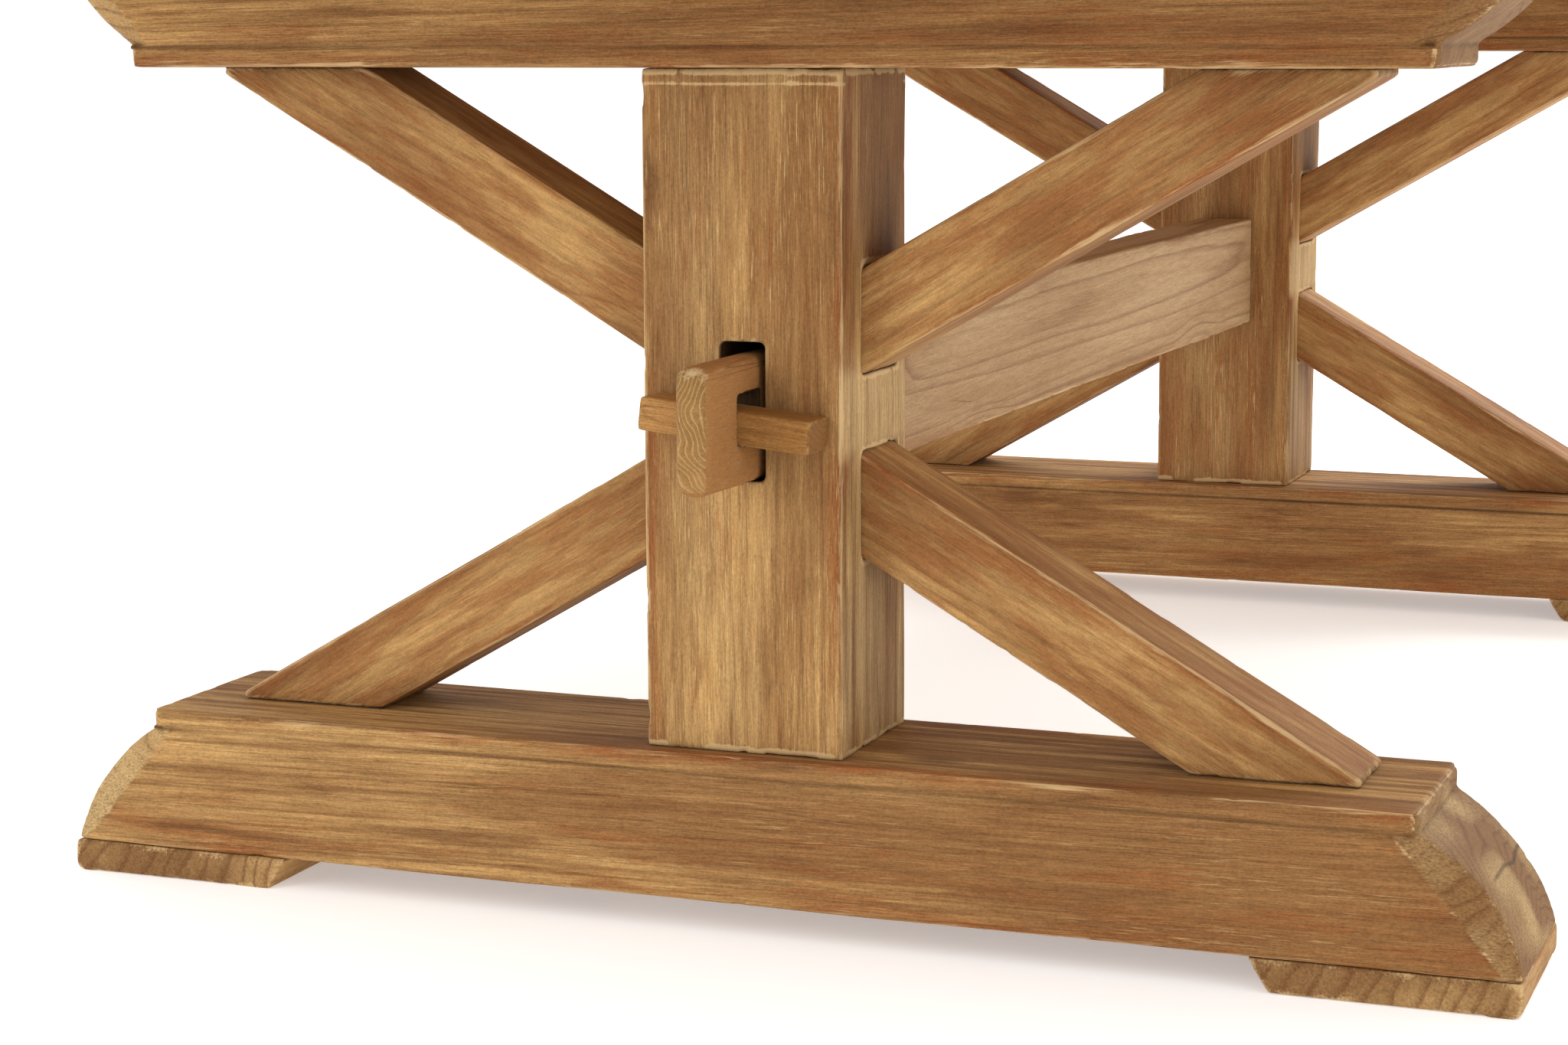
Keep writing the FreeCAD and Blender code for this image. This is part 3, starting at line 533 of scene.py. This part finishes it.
# How far back points past a corner go to lie on an arc, as a share of their way from its centre
def arcBack(over, up, radius, where=True):
    apart = np.hypot(over, up)
    cut = (over > 0) & (up > 0) & (apart > radius) & where
    return np.where(cut, radius / np.maximum(apart, 1) - 1, 0)


# Feet and cleats: a quirk under the moulded strip, bare corner facets, and a streak and a crack in the front foot
beamLook = {"seed": 11, "cell": 2.0, "eased": 1.2, "rubbed": 4.5, "share": 0.75, "chipFrom": 0.70, "chip": 0.7,
            "pith": (35, -150), "lean": (0.01, 0.02), "tone": 0.05, "red": 0.01, "redSlope": (0.03, 0, -0.10),
            "toneSlope": (0.12, 0, -0.04), "fleck": (0.5, 1.4, 1.15)}
quirkLook = {"low": 39.0, "high": 40.4, "deep": 1.1, "face": 82, "behind": 4.6, "spare": 0.5, "reach": (1.6, 0),
             "drift": (60, 30, 30), "driftSeed": 33, "driftRise": (0.3, 0.7), "grime": 0.42, "moreQuirkShade": 0.14}
stripLook = {"low": 40, "high": 54, "cornerRound": 11, "topRound": 5, "lines": (140, 7, 30), "linesSeed": 35,
             "linesFrom": 52, "linesTone": 0.7}
facetLook = {"top": (463, 38), "foot": (541, -54), "stripEnd": 480, "stripBack": 2, "edge": (-0.6, 0.9),
             "cutEnd": 0.1, "moreCutEnd": 0.3, "drift": (40, 30, 30), "driftSeed": 31, "leftMore": 0.2,
             "bareRise": (0.25, 0.65), "footBare": 0.8, "cleatBare": 0.15, "arrisRise": (0.2, 0.6),
             "arrisReach": (2.4, 0.8), "arrisWear": 0.55, "arrisGrime": 0.5, "grimeBeside": 2}
streakLook = {"rise": (-535, -470), "fall": (-270, -360), "level": -33, "start": -530, "slope": 0.035, "sway": 3,
              "reach": (4.5, 1.0), "front": -70, "grime": 0.42, "red": 0.7}
crackLook = {"past": 4, "level": 1, "sway": 5, "reach": (2.2, 0.8), "back": (-60, -30), "grime": 0.5}


def finishBeam(node, work):
    own, flip = work["own"], 1 if node.startswith("foot") else -1
    level, out = own[:, 2] * flip, np.abs(own[:, 0])
    onSide = (np.abs(own[:, 1]) > quirkLook["face"] - quirkLook["behind"]) & (out < facetLook["stripEnd"])
    aboveLow = level > quirkLook["low"] - quirkLook["spare"]
    inQuirk = onSide & aboveLow & (level < quirkLook["high"] + quirkLook["spare"])
    depth = quirkLook["face"] - quirkLook["deep"]
    work["placed"][inQuirk, 1] += (np.sign(own[inQuirk, 1]) * depth - own[inQuirk, 1]) * mm
    # Painted shade: a dark line down the quirk, stronger in some drifts and fainter in others
    aside = np.maximum(quirkLook["low"] - level, level - quirkLook["high"])
    faint = ramp(latticeNoise(own / quirkLook["drift"], quirkLook["driftSeed"]), *quirkLook["driftRise"])
    faint = quirkLook["grime"] + quirkLook["moreQuirkShade"] * faint
    quirkShade = np.maximum(work["grime"], faint * ramp(aside, *quirkLook["reach"]))
    work["grime"] = np.where(onSide, quirkShade, work["grime"])
    work["wear"][inQuirk] = 0

    # The strip's ends are knocked round, at the corners and along the top
    beside = np.abs(own[:, 1]) - quirkLook["face"]
    for axis, past, way, radius in ((1, beside, np.sign(own[:, 1]), stripLook["cornerRound"]),
                                    (2, level - stripLook["high"], flip, stripLook["topRound"])):
        over, up = out - facetLook["stripEnd"] + radius, past + radius
        back = arcBack(over, up, radius, level > stripLook["low"]) * mm
        work["placed"][:, 0] += np.sign(own[:, 0]) * over * back
        work["placed"][:, axis] += way * up * back

    # The corner facets and the curved ends are cut across the grain
    (topX, topZ), (footX, footZ) = facetLook["top"], facetLook["foot"]
    past = out - (topX + (topZ - level) * (footX - topX) / (topZ - footZ))
    past = np.where(level > topZ, out - facetLook["stripEnd"] + facetLook["stripBack"], past)
    ended = ramp(past, *facetLook["edge"])
    work["cutEnd"] = facetLook["cutEnd"] + facetLook["moreCutEnd"] * ended
    drift = latticeNoise(own / facetLook["drift"], facetLook["driftSeed"])
    bareEnd = ended * ramp(drift - facetLook["leftMore"] * np.sign(own[:, 0]), *facetLook["bareRise"])
    work["bare"] = facetLook["footBare" if flip > 0 else "cleatBare"] * bareEnd
    # Dark and pale streaks along the strip's upper side
    lines = latticeNoise(own / stripLook["lines"], stripLook["linesSeed"]) - 0.5
    work["tone"] = stripLook["linesTone"] * lines * (level > stripLook["linesFrom"])
    arris = (level < topZ) * ramp(drift, *facetLook["arrisRise"])
    reach, beside = facetLook["arrisReach"], past + facetLook["grimeBeside"]
    work["wear"] = np.maximum(work["wear"], facetLook["arrisWear"] * ramp(np.abs(past), *reach) * arris)
    arrisGrime = facetLook["arrisGrime"] * ramp(np.abs(beside), *reach) * arris * (flip > 0)
    work["grime"] = np.maximum(work["grime"], arrisGrime)
    if node == "foot_front":
        along = ramp(own[:, 0], *streakLook["rise"]) * ramp(own[:, 0], *streakLook["fall"])
        line = streakLook["level"] - (own[:, 0] - streakLook["start"]) * streakLook["slope"]
        line = line + streakLook["sway"] * (drift - 0.5)
        streak = along * ramp(np.abs(own[:, 2] - line), *streakLook["reach"]) * (own[:, 1] < streakLook["front"])
        line = level - crackLook["level"] - crackLook["sway"] * (drift - 0.5)
        crack = (past > crackLook["past"]) * (own[:, 0] > 0) * ramp(np.abs(line), *crackLook["reach"])
        crack = crack * ramp(own[:, 1], *crackLook["back"])
        darker = np.maximum(streakLook["grime"] * streak, crackLook["grime"] * crack)
        work["grime"] = np.maximum(work["grime"], darker)
        work["red"] = streakLook["red"] * streak


# Posts: sides left barer than the front, a russet run down the left arris, and a pale scribed line near the top
postLook = {"seed": 14, "cell": 2.0, "eased": 1.3, "rubbed": 5.0, "share": 0.6, "chipFrom": 0.68, "chip": 0.7,
            "pith": (120, 170), "lean": (0.02, 0.0), "toneSlope": (0.07, 0, 0), "tone": 0.03, "rearTone": 0.12,
            "rearRed": 0.05}
postMarks = {
    "centre": 725.5, "sideFrom": 72, "frontFrom": 60,
    "fine": (9, 9, 70), "fineSeed": 7, "broad": (30, 30, 90), "broadSeed": 8,
    "betweenLow": (340, 352), "betweenHigh": (412, 398), "betweenBare": 0.8,
    "sandedRise": (0.35, 0.65), "sandedHigh": (560, 470), "sandedBare": 0.75,
    "frontRise": (0.4, 0.75), "frontMiddle": -10, "frontReach": (60, 30), "frontBare": 0.3,
    "bandRise": (0.3, 0.55), "bandDeep": (-46, -58), "bandGrime": 0.3, "bandRed": 0.25,
    "stripes": (40, 9, 190), "stripesSeed": 9, "stripesTone": 0.5, "stripesBare": (-0.45, 0.1),
    "highTone": 0.16, "highFrom": (430, 520), "lowTone": 0.2, "lowFrom": (260, 160),
    "runAcross": (-57, -70), "runHigh": (420, 330), "runRise": (0.25, 0.45), "runRed": 0.35,
    "lineHigh": 603, "lineSway": 2, "lineReach": (2.2, 0.8), "lineRise": (0.05, 0.3),
    "rimReach": (6.5, 3), "rimRise": (0.1, 0.45), "rimWear": 1.4,
    "slotHigh": 376, "slotKeepAcross": (34, 26), "slotKeepUp": (66, 57),
    "slotShadeAcross": 20, "slotShadeUp": 55, "slotShadeDeep": (67, 60),
}


def finishPost(node, work):
    marks = postMarks
    x, y, z = work["world"].T
    y = y - marks["centre"] * (1 if node.endswith("rear") else -1)
    spot = np.column_stack([x, y, z])
    sideFace = np.abs(x) > marks["sideFrom"]
    drift = latticeNoise(spot / marks["fine"], marks["fineSeed"])
    broad = latticeNoise(spot / marks["broad"], marks["broadSeed"])
    stripes = latticeNoise(spot / marks["stripes"], marks["stripesSeed"]) - 0.5

    # Bare wood between the braces, in sanded places and down the middle of the front
    between = ramp(z, *marks["betweenLow"]) * ramp(z, *marks["betweenHigh"])
    sanded = ramp(broad, *marks["sandedRise"]) * ramp(z, *marks["sandedHigh"])
    sanded = marks["sandedBare"] * sanded * ramp(-stripes, *marks["stripesBare"])
    rubbedFront = marks["frontBare"] * ramp(broad, *marks["frontRise"])
    rubbedFront = rubbedFront * ramp(np.abs(x - marks["frontMiddle"]), *marks["frontReach"])
    work["bare"] = np.where(sideFace, np.maximum(sanded, marks["betweenBare"] * between), rubbedFront)

    # Stripes on the sides, darker towards both ends, and a stain along the front arris
    band = ramp(drift, *marks["bandRise"]) * ramp(y, *marks["bandDeep"]) * (1 - between)
    rightFace = sideFace & (x > 0)
    work["grime"] = np.where(rightFace, np.maximum(work["grime"], marks["bandGrime"] * band), work["grime"])
    work["red"] = np.where(rightFace, marks["bandRed"] * band, work["red"])
    tone = marks["stripesTone"] * stripes + marks["highTone"] * ramp(z, *marks["highFrom"])
    work["tone"] = np.where(sideFace, tone + marks["lowTone"] * ramp(z, *marks["lowFrom"]), 0)
    run = ramp(x, *marks["runAcross"]) * ramp(z, *marks["runHigh"]) * ramp(drift, *marks["runRise"])
    work["red"] = np.maximum(work["red"], marks["runRed"] * run * (y < -marks["frontFrom"]))

    # The scribed line, and pale rims where the post meets other timbers
    line = np.abs(z - marks["lineHigh"] - marks["lineSway"] * (broad - 0.5))
    line = ramp(line, *marks["lineReach"]) * ramp(drift, *marks["lineRise"])
    rim = ramp(work["touch"], *marks["rimReach"]) * ramp(drift, *marks["rimRise"])
    pale = np.maximum(line * (np.abs(y) > marks["frontFrom"]), marks["rimWear"] * rim)
    work["wear"] = np.maximum(work["wear"], pale)

    # The slot keeps its corners, and its inner faces get painted shade
    up = np.abs(z - marks["slotHigh"])
    slot = (ramp(np.abs(x), *marks["slotKeepAcross"]) * ramp(up, *marks["slotKeepUp"]))[:, None]
    work["placed"] = work["placed"] * (1 - slot) + work["eased"] * slot
    slotShade = (np.abs(x) < marks["slotShadeAcross"]) * ramp(np.abs(y), *marks["slotShadeDeep"])
    work["grime"] = np.maximum(work["grime"], slotShade * (up < marks["slotShadeUp"]))


# Braces: softly rubbed, rather redder
braceLook = {"seed": 60, "cell": 2.0, "eased": 1.3, "rubbed": 4.5, "share": 0.7, "chipFrom": 0.68, "chip": 0.5,
             "pith": (40, 90), "lean": (0.03, 0.02), "red": 0.11, "fleck": (0.3, 0.55, 0.8), "longScale": 1.3,
             "ringScale": 0.8}
# Pads: grain from front to back, so their fronts show wide rings
padLook = {"seed": 40, "cell": 2.0, "eased": 1.3, "rubbed": 4.0, "share": 0.8, "chipFrom": 0.70, "chip": 0.6,
           "pith": (140, 60), "ringScale": 0.55, "tone": 0.04}
# Stretcher: its tenon tips are knocked rounder than the rail, and its tenons are stained darker
stretcherLook = {"seed": 95, "cell": 1.8, "eased": 1.2, "rubbed": 4.5, "share": 0.8, "chipFrom": 0.70, "chip": 0.6,
                 "pith": (-26, 20), "lean": (0.03, 0.01), "longScale": 0.6, "red": -0.06,
                 "fleck": (0.2, 0.45, 0.7)}
# Each corner: along the tenon or across it, the upper one or the lower one, and its radius
tipLook = {"rounds": 18, "from": 820, "softRise": (850, 876), "cornerRise": (822, 850),
           "corners": ((0, 1, 9), (0, -1, 14), (1, 1, 4), (1, -1, 9)), "wear": 0.7, "topWear": (14, 2),
           "topRise": (874, 886)}
tenonLook = {"from": 660, "bare": 1.3, "endFrom": 0.5, "keyhole": (0, 798, 374), "keyholeReach": (11.5, 20, 26)}


def finishStretcher(node, work):
    out = np.abs(work["own"][:, 0])
    tips = np.nonzero(out > tipLook["from"])[0]
    order = np.full(len(out), -1)
    order[tips] = np.arange(len(tips))
    tipEdges = order[work["edges"]]
    rounder = relax(work["eased"][tips], tipEdges[(tipEdges >= 0).all(1)], tipLook["rounds"])
    share = ramp(out[tips], *tipLook["softRise"])[:, None]
    work["placed"][tips] = work["placed"][tips] * (1 - share) + rounder * share
    # Their upper and lower corners are taken back to an arc, along the tenon and across it
    tip = work["own"][tips]
    for axis, way, radius in tipLook["corners"]:
        over = np.abs(tip[:, axis]) - np.abs(tip[:, axis]).max() + radius
        up = way * tip[:, 2] - (way * tip[:, 2]).max() + radius
        back = arcBack(over, up, radius) * ramp(out[tips], *tipLook["cornerRise"]) * mm
        work["placed"][tips, axis] += np.sign(tip[:, axis]) * over * back
        work["placed"][tips, 2] += way * up * back
    topFrom, topTo = [tip[:, 2].max() - below for below in tipLook["topWear"]]
    top = ramp(tip[:, 2], topFrom, topTo) * ramp(out[tips], *tipLook["topRise"])
    work["wear"][tips] = np.maximum(tipLook["wear"] * work["wear"][tips], tipLook["wear"] * top)
    # The keyholes get painted shade inside
    apart = np.abs(np.abs(work["world"]) - tenonLook["keyhole"])
    work["grime"] = np.maximum(work["grime"], (apart < tenonLook["keyholeReach"]).all(1))
    work["bare"][(out > tenonLook["from"]) & (work["cutEnd"] < tenonLook["endFrom"])] = tenonLook["bare"]


# Dowels: turned smooth, hidden in the braces
dowelLook = {"seed": 92, "cell": 1.2, "eased": 0.8, "rubbed": 1.6, "share": 0.5, "chipFrom": 0.8, "chip": 0.2,
             "pith": (3, 8)}
# Wedges: knife-cut, hardly worn
wedgeLook = {"seed": 90, "cell": 1.5, "eased": 0.9, "rubbed": 2.5, "share": 0.7, "chipFrom": 0.72, "chip": 0.5,
             "pith": (12, 30), "tone": 0.02, "toneSlope": (0.25, 0, 0), "fleck": (0.5, 0.8, 1)}

for index, end in enumerate(trestles):
    first = 10 * index
    for place, beam in enumerate(("foot", "cleat")):
        wearTimber(f"{beam}_{end}", "table", beamLook, first + place, finish=finishBeam)
    tones = {"tone": postLook["tone"] + postLook["rearTone"] * index, "red": postLook["rearRed"] * index}
    wearTimber(f"post_{end}", "table", postLook | tones, first, finish=finishPost)
    for place, side in enumerate(sides):
        wearTimber(f"foot_pad_{end}_{side}", "table", padLook, first + place)
        for step, level in enumerate(("lower", "upper")):
            wearTimber(f"brace_{end}_{level}_{side}", "table", braceLook, first + 2 * place + step)
    wearTimber(f"wedge_{end}", f"wedge_{end}", wedgeLook, index)
    wearTimber(f"brace_dowels_{end}", "table", dowelLook, index)
wearTimber("stretcher", "table", stretcherLook, finish=finishStretcher)
print("trestles and stretcher done")


# A plain block with a node's outer sizes, kept within a reach from the middle
def blockMesh(node, reach):
    low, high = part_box(node)
    low = [max(low[0], -reach[0]), max(low[1], -reach[1]), low[2]]
    high = [min(high[0], reach[0]), min(high[1], reach[1]), high[2]]
    corners = [(x, y, z) for x in (low[0], high[0]) for y in (low[1], high[1]) for z in (low[2], high[2])]
    faces = [(0, 1, 3, 2), (4, 6, 7, 5), (0, 4, 5, 1), (2, 3, 7, 6), (0, 2, 6, 4), (1, 5, 7, 3)]
    block = bpy.data.meshes.new(node)
    block.from_pydata(corners, [], faces)
    return block


# Top: planks and breadboards, their arrises eased by use. The tongues inside the breadboards aren't drawn.
boardLook = {"seed": 100, "cell": 2.5, "stretch": 4, "eased": 1.5, "rubbed": 4.0, "share": 0.8, "chipFrom": 0.72,
             "chip": 0.5, "pith": (30, -120), "lean": (0.01, 0.012), "longScale": 0.3}
boardTones = (0.03, -0.06, 0.08, -0.03, 0.05)
plankReach, wholeReach = (1, 0.927), (1, 2)
for board in boardNumbers:
    block = blockMesh(f"top_board_{board}", plankReach)
    wearTimber(f"top_board_{board}", "table", boardLook | {"tone": boardTones[board - 1]}, board, block)
for index, end in enumerate(trestles):
    block = blockMesh(f"breadboard_{end}", wholeReach)
    wearTimber(f"breadboard_{end}", "table", boardLook, 10 + index, block)

# Pegs: driven home and trimmed a hair proud, each with a small dome
pegLook = {"seed": 114, "cell": 0.9, "eased": 0.6, "rubbed": 1.6, "share": 0.8, "chipFrom": 0.7, "chip": 0.6,
           "pith": (2, 5), "places": (-460, -230, 0, 230, 460), "radius": 6, "dome": 0.9, "domeFrom": 2}


def finishPeg(node, work):
    own = work["own"]
    apart = np.min([np.abs(own[:, 2] - place) for place in pegLook["places"]], axis=0)
    dome = 1 - (apart ** 2 + own[:, 1] ** 2) / pegLook["radius"] ** 2
    onTop = own[:, 0] > own[:, 0].max() - pegLook["domeFrom"]
    work["placed"][:, 0] += np.where(onTop, pegLook["dome"] * np.clip(dome, 0, 1) * mm, 0)


for index, end in enumerate(trestles):
    wearTimber(f"breadboard_pegs_{end}", "table", pegLook, index, finish=finishPeg)
    for fixing in ("lag_screws", "lag_washers", "pad_screws"):
        shank = frame["nodes"][f"{fixing}_{end}"]
        shank.material_slots[0].link = "OBJECT"
        shank.material_slots[0].material = zincSteel
print("top and fixings done")

# Pale studio paper: a white floor that glows a little and can be looked through from below
floorLook = {"size": 60, "colour": "#F4F4F2", "glow": 0.34, "rough": 0.9}
bpy.ops.mesh.primitive_plane_add(size=floorLook["size"], location=(0, 0, 0))
floor = bpy.context.object
floor.name = "studio_floor"
floorPaper, tree = newMaterial("paleStudioPaper")
shader = addNode(tree, "BsdfPrincipled", {"Base Color": linear(floorLook["colour"]),
                                          "Roughness": floorLook["rough"], "Emission Color": (1, 1, 1, 1),
                                          "Emission Strength": floorLook["glow"]})
fromBelow = addNode(tree, "NewGeometry", take="Backfacing")
shader = addNode(tree, "MixShader", {0: fromBelow, 1: shader, 2: addNode(tree, "BsdfTransparent")})
addNode(tree, "OutputMaterial", {"Surface": shader}, take=None)
floor.data.materials.append(floorPaper)

# A white sky, a soft key from the front left, a weak fill from the right and a light from behind
skyStrength = 1.0
lampLooks = {"key": {"at": (-2.4, -4.4, 2.2), "aim": (0, -0.7, 0.35), "size": 2.6, "power": 54},
             "fill": {"at": (3.6, -1.8, 1.4), "aim": (0, -0.3, 0.35), "size": 2.4, "power": 18},
             "back": {"at": (1.2, 3.2, 2.6), "aim": (0, 0.7, 0.2), "size": 2.2, "power": 120}}
studio = bpy.data.worlds.new("studio")
scene.world = studio
studio.use_nodes = True
studio.node_tree.nodes["Background"].inputs["Color"].default_value = (1, 1, 1, 1)
studio.node_tree.nodes["Background"].inputs["Strength"].default_value = skyStrength
for name, lamp in lampLooks.items():
    light = bpy.data.lights.new(name, "AREA")
    light.size = lamp["size"]
    light.energy = lamp["power"]
    holder = bpy.data.objects.new(name, light)
    holder.location = lamp["at"]
    holder.rotation_euler = (Vector(lamp["aim"]) - Vector(lamp["at"])).to_track_quat("-Z", "Y").to_euler()
    scene.collection.objects.link(holder)

# Turns are in degrees, the lens and its sensor in millimetres
cameraLook = {"at": (0.82825, -2.85708, 0.64085), "yaw": 21.11, "pitch": 8.77, "roll": -0.2, "lens": 73.58,
              "sensor": 36}
camera = bpy.data.cameras.new("photoCamera")
camera.sensor_fit = "HORIZONTAL"
camera.sensor_width = cameraLook["sensor"]
camera.lens = cameraLook["lens"]
viewer = bpy.data.objects.new("photoCamera", camera)
viewer.matrix_world = (Matrix.Translation(cameraLook["at"])
                       @ Matrix.Rotation(math.radians(cameraLook["yaw"]), 4, "Z")
                       @ Matrix.Rotation(math.radians(90 - cameraLook["pitch"]), 4, "X")
                       @ Matrix.Rotation(math.radians(cameraLook["roll"]), 4, "Z"))
scene.collection.objects.link(viewer)
scene.camera = viewer
scene.view_settings.view_transform = "Standard"
